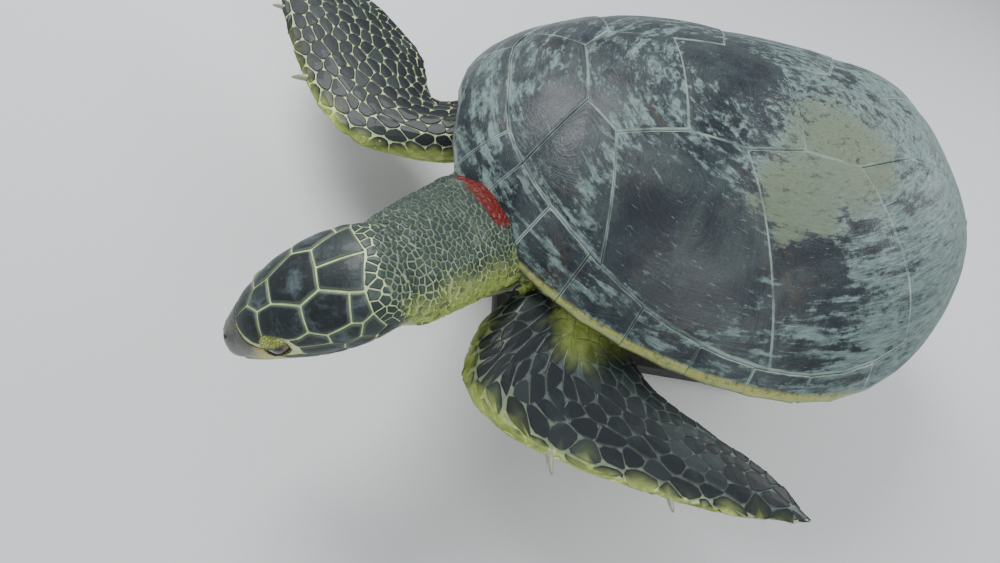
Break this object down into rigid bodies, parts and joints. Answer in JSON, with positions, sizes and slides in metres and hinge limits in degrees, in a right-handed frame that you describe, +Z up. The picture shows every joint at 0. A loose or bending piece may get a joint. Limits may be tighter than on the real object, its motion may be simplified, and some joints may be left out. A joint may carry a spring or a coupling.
{
  "type": "hawksbill sea turtle",
  "caption": "Life-size still model of a hawksbill sea turtle swimming with its head turned left, held by two short rods over a flat display base.",
  "frame": {"origin": "on the floor, under the middle of the overall box, at the underside of the stand's base", "axes": "+Z up; the shell points along -Y with the animal's left side at +X, the head turned towards +X"},
  "size_m": [0.723, 0.9768, 0.3971],
  "materials": {
    "scute": "horny shell plate, dark slate with pale streaks, satin",
    "plastron": "horny belly plate, pale yellow, satin",
    "skin": "scaly skin, near-black scales with pale seams",
    "beak": "horn, yellow-brown, smooth",
    "claw": "horn, pale grey-blue",
    "eye": "wet, glossy, near-black",
    "stand_base": "painted black, satin",
    "stand_rod": "brushed, round bar with flat pads"
  },
  "bodies": {
    "root": {"nuchal": "scute", "marginal_1_left": "scute", "marginal_2_left": "scute", "marginal_3_left": "scute", "marginal_4_left": "scute", "marginal_5_left": "scute", "marginal_6_left": "scute", "marginal_7_left": "scute", "marginal_8_left": "scute", "marginal_9_left": "scute", "marginal_10_left": "scute", "marginal_11_left": "scute", "supracaudal_left": "scute", "costal_1_left": "scute", "costal_2_left": "scute", "costal_3_left": "scute", "costal_4_left": "scute", "marginal_1_right": "scute", "marginal_2_right": "scute", "marginal_3_right": "scute", "marginal_4_right": "scute", "marginal_5_right": "scute", "marginal_6_right": "scute", "marginal_7_right": "scute", "marginal_8_right": "scute", "marginal_9_right": "scute", "marginal_10_right": "scute", "marginal_11_right": "scute", "supracaudal_right": "scute", "costal_1_right": "scute", "costal_2_right": "scute", "costal_3_right": "scute", "costal_4_right": "scute", "vertebral_1": "scute", "vertebral_2": "scute", "vertebral_3": "scute", "vertebral_4": "scute", "vertebral_5": "scute", "plastron": "plastron", "trunk": "skin", "head": "skin", "beak_upper": "beak", "beak_lower": "beak", "eye_left": "eye", "eye_right": "eye", "neck": "skin", "flipper_front_left": "skin", "claw_front_left_1": "claw", "claw_front_left_2": "claw", "flipper_front_right": "skin", "claw_front_right_1": "claw", "claw_front_right_2": "claw", "flipper_rear_left": "skin", "flipper_rear_right": "skin", "tail": "skin", "stand_base": "stand_base", "stand_rod_front": "stand_rod", "stand_rod_rear": "stand_rod"}
  },
  "joints": []
}
